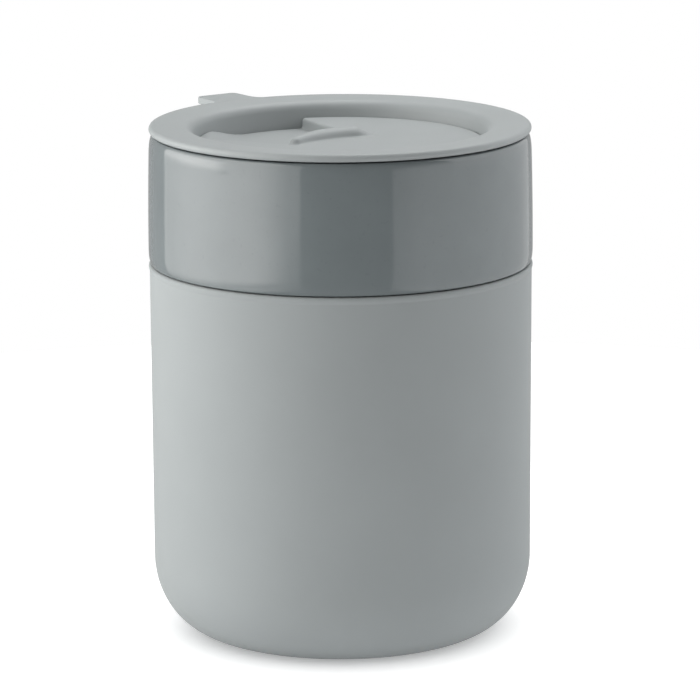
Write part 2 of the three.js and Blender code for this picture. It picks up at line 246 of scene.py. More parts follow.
def new_material(name):
    """An empty node material, its tree, and the Object coordinates its patterns read."""
    material = bpy.data.materials.new(name)
    material.use_nodes = True
    tree = material.node_tree
    tree.nodes.clear()
    place = add_node(tree, "ShaderNodeTexCoord").outputs["Object"]
    return material, tree, place


def per_metre(millimetres):
    """The scale of a noise whose features are so many millimetres across."""
    return 1 / (millimetres * MM)


def set_surface(tree, shader):
    add_node(tree, "ShaderNodeOutputMaterial", {"Surface": shader.outputs[0]})


def shade(base, factor):
    """A colour made lighter or darker by a factor."""
    return (*(min(1, c * factor) for c in base), 1)


def matte_silicone(base):
    """Silicone rubber from a grit-blasted mould: dry, soft and dull, with a faint bloom at grazing angles."""
    material, tree, place = new_material("moulded_silicone_rubber")
    # Slow drift of tone over hand-wide patches, as pigment and handling leave it
    drift = add_node(tree, "ShaderNodeTexNoise", {"Vector": place, "Scale": per_metre(24), "Detail": 3})
    tone = add_node(tree, "ShaderNodeMapRange", {
        "Value": drift.outputs["Fac"], "From Min": 0.3, "From Max": 0.7,
    })
    body = add_node(tree, "ShaderNodeMix", {
        "Factor": tone.outputs["Result"], "A": shade(base, 0.975), "B": shade(base, 1.02),
    }, data_type="RGBA")
    # The grit of the mould is near 0.1 mm and is drawn at 0.45 mm, so that it shows
    grit = add_node(tree, "ShaderNodeTexNoise", {
        "Vector": place, "Scale": per_metre(0.45), "Detail": 2, "Roughness": 0.6,
    })
    bump = add_node(tree, "ShaderNodeBump", {
        "Strength": 0.25, "Distance": 0.03 * MM, "Height": grit.outputs["Fac"],
    })
    rough = add_node(tree, "ShaderNodeMapRange", {
        "Value": grit.outputs["Fac"], "To Min": 0.58, "To Max": 0.72,
    })
    shader = add_node(tree, "ShaderNodeBsdfPrincipled", {
        "Base Color": body.outputs["Result"], "Roughness": rough.outputs["Result"],
        "Normal": bump.outputs["Normal"], "IOR": 1.41, "Specular IOR Level": 0.35,
        "Sheen Weight": 0.08, "Sheen Roughness": 0.5,
    })
    set_surface(tree, shader)
    return material


def glossy_glaze(base, bisque, foot):
    """Stoneware dipped in a glossy glaze: sharp reflections that ripple a little, and bare clay under the foot."""
    material, tree, place = new_material("glazed_stoneware")
    cloud = add_node(tree, "ShaderNodeTexNoise", {"Vector": place, "Scale": per_metre(14), "Detail": 4})
    tone = add_node(tree, "ShaderNodeMapRange", {
        "Value": cloud.outputs["Fac"], "From Min": 0.3, "From Max": 0.7,
    })
    body = add_node(tree, "ShaderNodeMix", {
        "Factor": tone.outputs["Result"], "A": shade(base, 0.95), "B": shade(base, 1.04),
    }, data_type="RGBA")
    # Iron specks of the clay under the glaze, about 0.3 mm: the peaks of a 0.9 mm noise
    specks = add_node(tree, "ShaderNodeTexNoise", {"Vector": place, "Scale": per_metre(0.9), "Detail": 1})
    fleck = add_node(tree, "ShaderNodeMapRange", {
        "Value": specks.outputs["Fac"], "From Min": 0.66, "From Max": 0.78, "To Max": 0.12,
    })
    flecked = add_node(tree, "ShaderNodeMix", {
        "Factor": fleck.outputs["Result"], "A": body.outputs["Result"], "B": shade(base, 0.55),
    }, data_type="RGBA")
    # The glaze is wiped off the foot, so the clay shows up to a wavering line
    waver = add_node(tree, "ShaderNodeTexNoise", {"Vector": place, "Scale": per_metre(9), "Detail": 1})
    height = add_node(tree, "ShaderNodeSeparateXYZ", {"Vector": place})
    line = add_node(tree, "ShaderNodeMath", {
        0: waver.outputs["Fac"], 1: 0.5 * MM, 2: height.outputs["Z"],
    }, operation="MULTIPLY_ADD")
    bare = add_node(tree, "ShaderNodeMapRange", {
        "Value": line.outputs["Value"], "From Min": foot + 0.9 * MM, "From Max": foot + 0.6 * MM,
    })
    skin = add_node(tree, "ShaderNodeMix", {
        "Factor": bare.outputs["Result"], "A": flecked.outputs["Result"], "B": (*bisque, 1),
    }, data_type="RGBA")
    rough = add_node(tree, "ShaderNodeMapRange", {
        "Value": bare.outputs["Result"], "To Min": 0.09, "To Max": 0.85,
    })
    ripple = add_node(tree, "ShaderNodeTexNoise", {"Vector": place, "Scale": per_metre(7), "Detail": 1})
    bump = add_node(tree, "ShaderNodeBump", {
        "Strength": 0.3, "Distance": 0.05 * MM, "Height": ripple.outputs["Fac"],
    })
    shader = add_node(tree, "ShaderNodeBsdfPrincipled", {
        "Base Color": skin.outputs["Result"], "Roughness": rough.outputs["Result"],
        "Normal": bump.outputs["Normal"], "IOR": 1.58,
    })
    set_surface(tree, shader)
    return material


def satin_plastic(base):
    """Polypropylene from a spark-eroded mould: even, satin and slightly waxy, its grain just visible."""
    material, tree, place = new_material("moulded_polypropylene")
    flow = add_node(tree, "ShaderNodeTexNoise", {"Vector": place, "Scale": per_metre(18), "Detail": 2})
    tone = add_node(tree, "ShaderNodeMapRange", {
        "Value": flow.outputs["Fac"], "From Min": 0.3, "From Max": 0.7,
    })
    body = add_node(tree, "ShaderNodeMix", {
        "Factor": tone.outputs["Result"], "A": shade(base, 0.98), "B": shade(base, 1.02),
    }, data_type="RGBA")
    # Spark erosion leaves pits near 0.08 mm, drawn at 0.35 mm so that they show
    pits = add_node(tree, "ShaderNodeTexNoise", {
        "Vector": place, "Scale": per_metre(0.35), "Detail": 2, "Roughness": 0.55,
    })
    bump = add_node(tree, "ShaderNodeBump", {
        "Strength": 0.2, "Distance": 0.02 * MM, "Height": pits.outputs["Fac"],
    })
    rough = add_node(tree, "ShaderNodeMapRange", {
        "Value": pits.outputs["Fac"], "To Min": 0.46, "To Max": 0.58,
    })
    shader = add_node(tree, "ShaderNodeBsdfPrincipled", {
        "Base Color": body.outputs["Result"], "Roughness": rough.outputs["Result"],
        "Normal": bump.outputs["Normal"], "IOR": 1.49,
    })
    set_surface(tree, shader)
    return material


def clear_silicone(base):
    """Unfilled silicone rubber: milky, soft and a little translucent, with a dull moulded skin."""
    material, tree, place = new_material("clear_silicone_rubber")
    milk = add_node(tree, "ShaderNodeTexNoise", {"Vector": place, "Scale": per_metre(3), "Detail": 2})
    body = add_node(tree, "ShaderNodeMix", {
        "Factor": milk.outputs["Fac"], "A": shade(base, 0.93), "B": shade(base, 1.05),
    }, data_type="RGBA")
    skin = add_node(tree, "ShaderNodeTexNoise", {"Vector": place, "Scale": per_metre(0.5), "Detail": 1})
    bump = add_node(tree, "ShaderNodeBump", {
        "Strength": 0.15, "Distance": 0.02 * MM, "Height": skin.outputs["Fac"],
    })
    rough = add_node(tree, "ShaderNodeMapRange", {
        "Value": skin.outputs["Fac"], "To Min": 0.4, "To Max": 0.55,
    })
    shader = add_node(tree, "ShaderNodeBsdfPrincipled", {
        "Base Color": body.outputs["Result"], "Roughness": rough.outputs["Result"],
        "Normal": bump.outputs["Normal"], "IOR": 1.41,
        "Subsurface Weight": 0.35, "Subsurface Radius": (1, 1, 1), "Subsurface Scale": 1.2 * MM,
    })
    set_surface(tree, shader)
    return material


def arc(x, y, radius_x, radius_y, start, end, steps=ARC_STEPS):
    """Points of an elliptical arc in a profile, angles in degrees."""
    angles = [math.radians(start + (end - start) * i / steps) for i in range(steps + 1)]
    return [(x + radius_x * math.cos(a), y + radius_y * math.sin(a)) for a in angles]


def bend(start, corner, end, steps=ARC_STEPS):
    """Points of a curve that leaves start towards corner and comes into end from it."""
    shares = [i / steps for i in range(steps + 1)]
    weights = [((1 - t) ** 2, 2 * t * (1 - t), t * t) for t in shares]
    return [tuple(a * s + b * c + d * e for s, c, e in zip(start, corner, end)) for a, b, d in weights]


def polar(radius, angle):
    """A point in plan, the angle in radians."""
    return radius * math.cos(angle), radius * math.sin(angle)


def draw(name, points):
    """Draw a line through points, a vertex at a time, and stay in edit mode with all of it selected."""
    bpy.ops.object.select_all(action="DESELECT")
    bpy.ops.mesh.primitive_plane_add(size=MM, enter_editmode=True, location=(0, 0, 0))
    bpy.context.object.name = name
    bpy.ops.mesh.merge(type="CENTER")
    bpy.ops.transform.translate(value=points[0])
    for last, here in zip(points, points[1:]):
        step = Vector(here) - Vector(last)
        if step.length > MERGE_GAP:
            bpy.ops.mesh.extrude_vertices_move(TRANSFORM_OT_translate={"value": step})
    bpy.ops.mesh.select_all(action="SELECT")
    return bpy.context.object


def close_mesh():
    """Merge what meets, turn the faces outwards and leave edit mode."""
    bpy.ops.mesh.select_all(action="SELECT")
    bpy.ops.mesh.remove_doubles(threshold=MERGE_GAP)
    bpy.ops.mesh.normals_make_consistent(inside=False)
    bpy.ops.object.mode_set(mode="OBJECT")
    return bpy.context.object


def spin(name, profile, steps=SPIN_STEPS):
    """Turn a profile of (radius, height) points about the mug's axis."""
    draw(name, [(radius, 0, height) for radius, height in profile])
    bpy.ops.mesh.spin(steps=steps, angle=math.tau, center=(0, 0, 0), axis=(0, 0, 1))
    return close_mesh()


def raise_plan(name, plan, bottom, top):
    """Fill a closed plan of (x, y) points and raise it from one height to another."""
    draw(name, [(x, y, bottom) for x, y in [*plan, plan[0]]])
    bpy.ops.mesh.remove_doubles(threshold=MERGE_GAP)
    bpy.ops.mesh.edge_face_add()
    bpy.ops.mesh.extrude_region_move(TRANSFORM_OT_translate={"value": (0, 0, top - bottom)})
    return close_mesh()


def sweep_side(name, side, near, far):
    """Fill a closed side view of (x, z) points and draw it out along y."""
    draw(name, [(x, near, z) for x, z in [*side, side[0]]])
    bpy.ops.mesh.remove_doubles(threshold=MERGE_GAP)
    bpy.ops.mesh.edge_face_add()
    bpy.ops.mesh.extrude_region_move(TRANSFORM_OT_translate={"value": (0, far - near, 0)})
    return close_mesh()


def apply_modifier(piece, kind, **settings):
    """Add a modifier with its settings and apply it."""
    bpy.ops.object.select_all(action="DESELECT")
    piece.select_set(True)
    bpy.context.view_layer.objects.active = piece
    modifier = piece.modifiers.new(kind.title(), kind)
    for name, value in settings.items():
        setattr(modifier, name, value)
    bpy.ops.object.modifier_apply(modifier=modifier.name)


def combine(piece, tool, operation):
    """Join another solid to a piece or cut it away, and drop that solid."""
    apply_modifier(piece, "BOOLEAN", object=tool, operation=operation, solver="EXACT")
    if not piece.data.polygons:
        raise RuntimeError(f"{piece.name}: nothing is left after {operation} with {tool.name}")
    bpy.data.objects.remove(tool)


def round_edges(piece, width, segments=3):
    """Round a solid's sharp edges."""
    apply_modifier(
        piece, "BEVEL", width=width, segments=segments, limit_method="ANGLE", angle_limit=SMOOTH_ANGLE
    )


def fit_out(piece, body, node, material, crease=SMOOTH_ANGLE):
    """Shade a finished piece, give it its material and let it stand for its node on its body."""
    bpy.ops.object.select_all(action="DESELECT")
    piece.select_set(True)
    bpy.context.view_layer.objects.active = piece
    bpy.ops.object.shade_smooth_by_angle(angle=crease)
    piece.data.materials.clear()
    piece.data.materials.append(material)
    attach(piece, body)
    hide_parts(node)


def slot_plan(radius, half_width, start, end, steps=ARC_STEPS):
    """Plan of a curved slot with round ends, angles in radians."""
    plan = [polar(radius + half_width, start + (end - start) * i / steps) for i in range(steps + 1)]
    x, y = polar(radius, end)
    turns = [end + math.pi * i / steps for i in range(1, steps)]
    plan += [(x + half_width * math.cos(a), y + half_width * math.sin(a)) for a in turns]
    plan += [polar(radius - half_width, end + (start - end) * i / steps) for i in range(steps + 1)]
    x, y = polar(radius, start)
    turns = [start + math.pi + math.pi * i / steps for i in range(1, steps)]
    plan += [(x + half_width * math.cos(a), y + half_width * math.sin(a)) for a in turns]
    return plan


# Where the shutter's rib, scoop, post and peg lie, seen from above with the mug's tab at the rear left
RIB_CENTRE = (10 * MM, -16 * MM)
RIB_START = math.radians(155.5)
RIB_END = math.radians(92.6)
RIB_TIP_WIDTH = 0.62
RIB_ROUND = 1.6 * MM
RIB_RISE = 11 * MM
RIB_FADE = 6.2 * MM
RIB_FADE_CURVE = 1.7
RIB_POINTS = 48
RIB_LEAST_SWELL = 0.05
STEP_ANGLE = math.radians(107)
STEP_AT_RIB = math.radians(106.9)
STEP_CORNER = 2.4 * MM
SCOOP_FRONT = math.radians(173)
SCOOP_SHARE = 0.88
RAMP_INSET = 2.4 * MM
RAMP_LENGTH = 5.6 * MM
RAMP_BLEND = 2.4 * MM
BARB_REACH = 0.9 * MM
BARB_HEIGHT = 1.5 * MM
POST_SPLIT = 1.2 * MM
PEG_ORBIT = 12 * MM
PEG_ANGLE = math.radians(20)
PEG_LENGTH = 0.9 * MM
PEG_SIDES = 36
BLEND_EASE = 0.5
BLEND_PASSES = 6


class LidLayout:
    """Heights and radii that the lid, its shutter and its seals share."""

    def __init__(self, scene):
        lid, shutter, seals = scene.mug_lid, scene.mug_shutter, scene.mug_seals
        cup = scene.mug_cup
        self.brim_radius = cup.radius - lid.brim_inset
        self.brim_under = lid.top - lid.brim
        self.bowl_mouth = lid.top - lid.dish
        self.bowl_radius = lid.plug_radius - lid.plug_wall
        self.disc_top = lid.top - shutter.drop
        self.disc_bottom = self.disc_top - shutter.thickness
        self.floor_top = self.disc_bottom - shutter.gap
        self.floor_bottom = self.floor_top - lid.floor
        self.groove_top = self.brim_under - lid.groove_drop
        self.groove_bottom = self.groove_top - lid.groove_height
        self.groove_radius = lid.plug_radius - lid.groove
        self.mouth_radius = cup.radius - cup.band_wall
        self.pivot_hole = shutter.post + shutter.gap
        self.ring_radius = shutter.post + seals.play + seals.cord / 2
        self.ring_seat = self.ring_radius + seals.cord / 2 + seals.play
        self.ring_floor = self.floor_top - seals.cord - seals.play
        self.slot_radius = self.bowl_radius - shutter.slot_inset
        self.slot_angle = lid.tab_angle + math.pi
        self.slot_half = shutter.slot_width / 2
        self.slot_span = shutter.slot_span
        self.flare = lid.flare

    def bowl_at(self, height):
        """Radius of the bowl's flared wall at a height."""
        return self.bowl_radius + self.flare * (height - self.floor_top) / (self.bowl_mouth - self.floor_top)

    def sip_plan(self, angle, margin):
        """The sip slot's plan grown by a margin, centred on an angle."""
        half = self.slot_span / 2
        return slot_plan(self.slot_radius, self.slot_half + margin, angle - half, angle + half)


class MUG_OT_sleeve(bpy.types.Operator):
    """Spin the silicone sleeve from its profile"""

    bl_idname = "mug.sleeve"
    bl_label = "Silicone Sleeve"

    def execute(self, context):
        s = context.scene.mug_sleeve
        foot = s.radius - s.draft
        flat = foot - s.base_round
        inside = s.radius - s.wall
        lip_edge = s.radius + s.lip_proud
        swell = s.height - (s.lip + s.lip_rise) / 2
        quarter = (s.lip_rise - s.lip) / 4
        lip_middle = (s.radius + s.lip_proud / 2, swell)
        profile = [
            (0, 0),
            *arc(flat, s.base_rise, foot - flat, s.base_rise, -90, 0, 3 * ARC_STEPS),
            *bend((s.radius, s.height - s.lip_rise), (s.radius, swell - quarter), lip_middle),
            *bend(lip_middle, (lip_edge, swell + quarter), (lip_edge, s.height - s.lip)),
            *arc(lip_edge - s.lip, s.height - s.lip, s.lip, s.lip, 0, 90),
            (inside + s.lip / 2, s.height),
            *arc(inside + s.lip / 2, s.height - s.lip / 2, s.lip / 2, s.lip / 2, 90, 180),
            *arc(flat, s.base_rise, inside - flat, s.base_rise - s.floor, 0, -90, 2 * ARC_STEPS),
            (0, s.floor),
        ]
        piece = spin("moulded_sleeve", profile)
        material = matte_silicone(context.scene.mug_finishes.sleeve)
        fit_out(piece, "sleeve", "silicone_sleeve", material)
        return {"FINISHED"}


class MUG_OT_cup(bpy.types.Operator):
    """Spin the glazed cup from its profile"""

    bl_idname = "mug.cup"
    bl_label = "Glazed Cup"

    def execute(self, context):
        c, s = context.scene.mug_cup, context.scene.mug_sleeve
        body = s.radius - s.wall - c.sleeve_gap
        flat = s.radius - s.draft - s.base_round
        shoulder = s.height + c.sleeve_gap
        band_foot = shoulder + c.foot_rise
        rim = c.height - c.rim_drop
        lean = c.radius - c.lean
        slope = 2 * c.lean / (rim - band_foot)
        mouth = c.radius - c.band_wall
        slope_top = c.height - c.mouth_depth
        well = body - c.wall
        well_floor = c.foot + c.floor
        profile = [
            (0, c.foot),
            *arc(flat, s.base_rise, body - flat, s.base_rise - c.foot, -90, 0, 2 * ARC_STEPS),
            (body, shoulder),
            *arc(c.radius - c.foot_inset, band_foot, c.foot_inset, c.foot_rise, -90, 0, 2 * ARC_STEPS),
            *bend((c.radius, band_foot), (c.radius, (band_foot + rim) / 2), (lean, rim), 2 * ARC_STEPS),
            *bend((lean, rim), (lean - slope * c.rim_drop, c.height), (lean - c.rim_inset, c.height), 2 * ARC_STEPS),
            *arc(mouth + c.mouth_round, c.height - c.mouth_round, c.mouth_round, c.mouth_round, 90, 180),
            (mouth, slope_top),
            (well, slope_top - c.mouth_slope),
            *arc(well - c.well_round, well_floor + c.well_round, c.well_round, c.well_round, 0, -90),
            (0, well_floor),
        ]
        piece = spin("glazed_cup", profile)
        finishes = context.scene.mug_finishes
        material = glossy_glaze(finishes.glaze, finishes.bisque, c.foot)
        fit_out(piece, "cup", "ceramic_cup", material)
        return {"FINISHED"}


class MUG_OT_lid(bpy.types.Operator):
    """Spin the lid, add its lift tab and cut its slot, gasket seat and peg track"""

    bl_idname = "mug.lid"
    bl_label = "Lid"

    def lift_tab(self, lid, layout):
        """The tab, drawn pointing along x, its edges rounded, turned to its place."""
        half = lid.tab_width / 2
        foot = half + lid.tab_blend
        edge = math.sqrt(layout.brim_radius ** 2 - foot ** 2) - lid.tab_drop
        root = edge - lid.brim / 2
        end = layout.brim_radius + lid.tab_reach
        corner = end - lid.tab_corner
        right = [
            (root, -foot),
            *bend((edge, -foot), (edge, -half), (edge + lid.tab_blend, -half)),
            *arc(corner, -half + lid.tab_corner, lid.tab_corner, lid.tab_corner, -90, 0),
        ]
        plan = right + [(x, -y) for x, y in reversed(right)]
        top = lid.top - lid.tab_drop
        tab = raise_plan("tab", plan, top - lid.tab, top)
        round_edges(tab, lid.edge)
        bpy.ops.object.mode_set(mode="EDIT")
        bpy.ops.mesh.select_all(action="SELECT")
        # With no window, this operator turns the other way
        bpy.ops.transform.rotate(value=-lid.tab_angle, orient_axis="Z", center_override=(0, 0, 0))
        bpy.ops.object.mode_set(mode="OBJECT")
        return tab

    def execute(self, context):
        scene = context.scene
        lid, shutter, seals = scene.mug_lid, scene.mug_shutter, scene.mug_seals
        at = LidLayout(scene)
        half_brim = lid.brim / 2
        chamfer = 2 * lid.edge
        brim_edge = at.brim_radius - half_brim
        mouth = at.bowl_radius + lid.flare
        roll_start, roll_end = mouth + lid.roll, at.bowl_mouth - lid.roll
        slope = 2 * lid.dish / (brim_edge - roll_start)
        shoulder = (roll_start, at.bowl_mouth)
        profile = [
            (at.pivot_hole, at.floor_bottom),
            (at.bowl_radius, at.floor_bottom),
            (at.bowl_radius, lid.bottom),
            (lid.plug_radius - chamfer, lid.bottom),
            (lid.plug_radius, lid.bottom + chamfer),
            (lid.plug_radius, at.groove_bottom),
            (at.groove_radius, at.groove_bottom),
            (at.groove_radius, at.groove_top),
            (lid.plug_radius, at.groove_top),
            (lid.plug_radius, at.brim_under - lid.haunch),
            (lid.plug_radius + lid.haunch, at.brim_under),
            *arc(brim_edge, at.brim_under + half_brim, half_brim, half_brim, -90, 90),
            *bend((brim_edge, lid.top), ((brim_edge + roll_start) / 2, lid.top), shoulder),
            *bend(shoulder, (mouth, at.bowl_mouth - slope * lid.roll), (at.bowl_at(roll_end), roll_end)),
            (at.bowl_radius, at.floor_top),
            (at.ring_seat, at.floor_top),
            (at.ring_seat, at.ring_floor),
            (at.pivot_hole, at.ring_floor),
            (at.pivot_hole, at.floor_bottom),
        ]
        piece = spin("moulded_lid", profile)
        combine(piece, self.lift_tab(lid, at), "UNION")
        below, above = at.floor_bottom - lid.floor, at.floor_top + lid.floor
        combine(piece, raise_plan("slot", at.sip_plan(at.slot_angle, 0), below, above), "DIFFERENCE")
        seat_floor = at.floor_top - seals.gasket_height - seals.play
        outside = at.sip_plan(at.slot_angle, seals.gasket_inset + seals.gasket + seals.play)
        inside = at.sip_plan(at.slot_angle, seals.gasket_inset - seals.play)
        seat = raise_plan("seat", outside, seat_floor, above)
        combine(seat, raise_plan("seat_inside", inside, below, above + lid.floor), "DIFFERENCE")
        combine(piece, seat, "DIFFERENCE")
        track = slot_plan(
            PEG_ORBIT, shutter.peg + shutter.gap, PEG_ANGLE, PEG_ANGLE + shutter.shut_turn, 3 * ARC_STEPS
        )
        track_floor = at.disc_bottom - PEG_LENGTH - shutter.gap
        combine(piece, raise_plan("track", track, track_floor, above), "DIFFERENCE")
        fit_out(piece, "lid", "lid_body", satin_plastic(scene.mug_finishes.lid))
        return {"FINISHED"}


class MUG_OT_shutter(bpy.types.Operator):
    """Model the shutter disc with its thumb rib, scoop, port, snap post and stop peg"""

    bl_idname = "mug.shutter"
    bl_label = "Shutter Disc"

    def rib_rise(self, along):
        """How far the thumb rib has come to its full size at a distance from its left end, as a share."""
        share = min(along / RIB_RISE, 1)
        return share ** 2 * (3 - 2 * share)

    def thumb_rib(self, shutter, height):
        """A bent bar, low and rounded at its left end and sinking into the disc at its right."""
        bpy.ops.object.select_all(action="DESELECT")
        bpy.ops.curve.primitive_nurbs_path_add(location=(0, 0, 0))
        rib = bpy.context.object
        rib.name = "rib"
        line = rib.data
        line.splines.clear()
        spline = line.splines.new("POLY")
        spline.points.add(RIB_POINTS - 1)
        length = shutter.rib_bend * abs(RIB_END - RIB_START)
        for i, spot in enumerate(spline.points):
            share = i / (RIB_POINTS - 1)
            x, y = polar(shutter.rib_bend, RIB_START + (RIB_END - RIB_START) * share)
            along = share * length
            rounded = min(along / RIB_ROUND, 1)
            swell = max(math.sqrt(1 - (1 - rounded) ** 2), RIB_LEAST_SWELL)
            rise = self.rib_rise(along)
            fading = min((length - along) / RIB_FADE, 1)
            crest = shutter.rib_tip + (shutter.rib_height - shutter.rib_tip) * rise
            thick = RIB_TIP_WIDTH + (1 - RIB_TIP_WIDTH) * rise
            sunk = crest * fading ** RIB_FADE_CURVE - shutter.rib * thick
            spot.co = (RIB_CENTRE[0] + x, RIB_CENTRE[1] + y, height + swell * sunk, 1)
            spot.radius = swell * thick
        line.bevel_depth = shutter.rib
        line.bevel_resolution = ARC_STEPS
        line.use_fill_caps = True
        bpy.ops.object.convert(target="MESH")
        bpy.ops.object.mode_set(mode="EDIT")
        return close_mesh()

    def thumb_scoop(self, shutter, at):
        """What the thumb scoop takes away: a level floor, with a ramp at the left and a step at the right."""
        beyond = at.bowl_radius + at.flare
        rib_side = []
        for i in range(RIB_POINTS + 1):
            angle = STEP_AT_RIB + (RIB_START - STEP_AT_RIB) * i / RIB_POINTS
            rise = self.rib_rise(shutter.rib_bend * (RIB_START - angle))
            reach = SCOOP_SHARE * shutter.rib * (RIB_TIP_WIDTH + (1 - RIB_TIP_WIDTH) * rise)
            x, y = polar(shutter.rib_bend + reach, angle)
            rib_side.append((RIB_CENTRE[0] + x, RIB_CENTRE[1] + y))
        disc_edge = at.bowl_at(at.disc_top) - shutter.gap
        corner = Vector(polar(disc_edge, STEP_ANGLE))
        inward = corner + STEP_CORNER * (Vector(rib_side[0]) - corner).normalized()
        corner_angle = STEP_ANGLE - STEP_CORNER / disc_edge
        plan = [polar(2 * beyond, corner_angle), *bend(polar(disc_edge, corner_angle), corner, inward), *rib_side]
        plan += [polar(beyond, SCOOP_FRONT), polar(2 * beyond, SCOOP_FRONT)]
        floor = at.disc_top - shutter.scoop
        above = at.disc_top + shutter.scoop
        slope = RAMP_LENGTH / shutter.scoop
        crest = at.bowl_radius - RAMP_INSET
        toe = RAMP_LENGTH - crest
        side = [
            (-crest - RAMP_LENGTH, above),
            *bend((toe - RAMP_BLEND, floor + RAMP_BLEND / slope), (toe, floor), (toe + RAMP_BLEND, floor)),
            (beyond, floor),
            (beyond, above),
        ]
        scoop = raise_plan("scoop", plan, floor - shutter.scoop, above + shutter.scoop)
        combine(scoop, sweep_side("scoop_side", side, -3 * beyond, 3 * beyond), "INTERSECT")
        return scoop

    def execute(self, context):
        scene = context.scene
        shutter = scene.mug_shutter
        at = LidLayout(scene)
        lower = at.bowl_at(at.disc_bottom) - shutter.gap
        upper = at.bowl_at(at.disc_top) - shutter.gap
        barb_top = at.floor_bottom - shutter.gap
        barb_bottom = barb_top - BARB_HEIGHT
        barb = shutter.post + BARB_REACH
        profile = [
            (0, barb_bottom),
            (shutter.post, barb_bottom),
            (barb, barb_top - BARB_REACH / 2),
            (barb, barb_top),
            (shutter.post, barb_top),
            (shutter.post, at.disc_bottom),
            (lower - shutter.edge, at.disc_bottom),
            (lower, at.disc_bottom + shutter.edge),
            (upper, at.disc_top - shutter.edge),
            (upper - shutter.edge, at.disc_top),
            (0, at.disc_top),
        ]
        piece = spin("turning_shutter", profile)
        combine(piece, self.thumb_scoop(shutter, at), "DIFFERENCE")
        combine(piece, self.thumb_rib(shutter, at.disc_top), "UNION")
        port = at.sip_plan(at.slot_angle - shutter.shut_turn, 0)
        combine(
            piece,
            raise_plan("port", port, at.disc_bottom - shutter.thickness, at.disc_top + shutter.thickness),
            "DIFFERENCE",
        )
        wide = 2 * barb
        split = [(-POST_SPLIT / 2, -wide), (POST_SPLIT / 2, -wide), (POST_SPLIT / 2, wide), (-POST_SPLIT / 2, wide)]
        middle = (at.floor_bottom + at.floor_top) / 2
        combine(piece, raise_plan("split", split, barb_bottom - BARB_HEIGHT, middle), "DIFFERENCE")
        x, y = polar(PEG_ORBIT, PEG_ANGLE)
        peg_plan = arc(x, y, shutter.peg, shutter.peg, 0, 360 - 360 / PEG_SIDES, PEG_SIDES - 1)
        root = at.disc_bottom + shutter.thickness / 4
        combine(piece, raise_plan("peg", peg_plan, at.disc_bottom - PEG_LENGTH, root), "UNION")
        # The mould's blends come from a fine remesh whose edges are then eased
        apply_modifier(piece, "REMESH", mode="VOXEL", voxel_size=shutter.grain, adaptivity=0)
        apply_modifier(piece, "SMOOTH", factor=BLEND_EASE, iterations=BLEND_PASSES)
        plastic = satin_plastic(scene.mug_finishes.lid)
        fit_out(piece, "shutter", "shutter_disc", plastic, crease=math.pi)
        return {"FINISHED"}


class MUG_OT_seals(bpy.types.Operator):
    """Model the three seals: the lid's finned ring, the sip slot's gasket and the pivot's ring"""

    bl_idname = "mug.seals"
    bl_label = "Seals"

    def execute(self, context):
        scene = context.scene
        lid, seals = scene.mug_lid, scene.mug_seals
        at = LidLayout(scene)
        material = clear_silicone(scene.mug_finishes.seal)
        inside = at.groove_radius + seals.play
        body = lid.plug_radius + seals.body
        tip = at.mouth_radius - seals.play
        bottom, top = at.groove_bottom + seals.play, at.groove_top - seals.play
        profile = [
            (inside, bottom),
            (body, bottom),
            (tip, bottom + seals.fin_rise),
            (tip, bottom + seals.fin_rise + seals.fin / 2),
            (body, bottom + seals.fin),
            (body, top - seals.fin - seals.fin_rise),
            (tip, top - seals.fin / 2),
            (tip, top),
            (body, top - seals.fin_rise),
            (lid.plug_radius, top),
            (inside, top),
            (inside, bottom),
        ]
        ring = spin("finned_seal", profile)
        round_edges(ring, seals.fin / 6, 2)
        fit_out(ring, "lid", "lid_seal", material)
        floor = at.floor_top - seals.gasket_height
        outside = at.sip_plan(at.slot_angle, seals.gasket_inset + seals.gasket)
        gasket = raise_plan("slot_gasket", outside, floor, at.floor_top)
        opening = at.sip_plan(at.slot_angle, seals.gasket_inset)
        combine(gasket, raise_plan("opening", opening, floor - MM, at.floor_top + MM), "DIFFERENCE")
        round_edges(gasket, seals.gasket_height / 5)
        fit_out(gasket, "lid", "sip_gasket", material)
        cord = seals.cord / 2
        circle = arc(at.ring_radius, at.floor_top - cord, cord, cord, 0, 360, 2 * ARC_STEPS)
        pivot = spin("pivot_seal", circle, SMALL_SPIN_STEPS)
        fit_out(pivot, "lid", "pivot_o_ring", material)
        return {"FINISHED"}


class SoftPanel(NamedTuple):
    """A glowing panel. A fade runs along a line, from a place and share of the brightness to another, in metres."""

    setting: str
    extent: tuple
    place: tuple
    turned: str
    tint: tuple
    fades: tuple


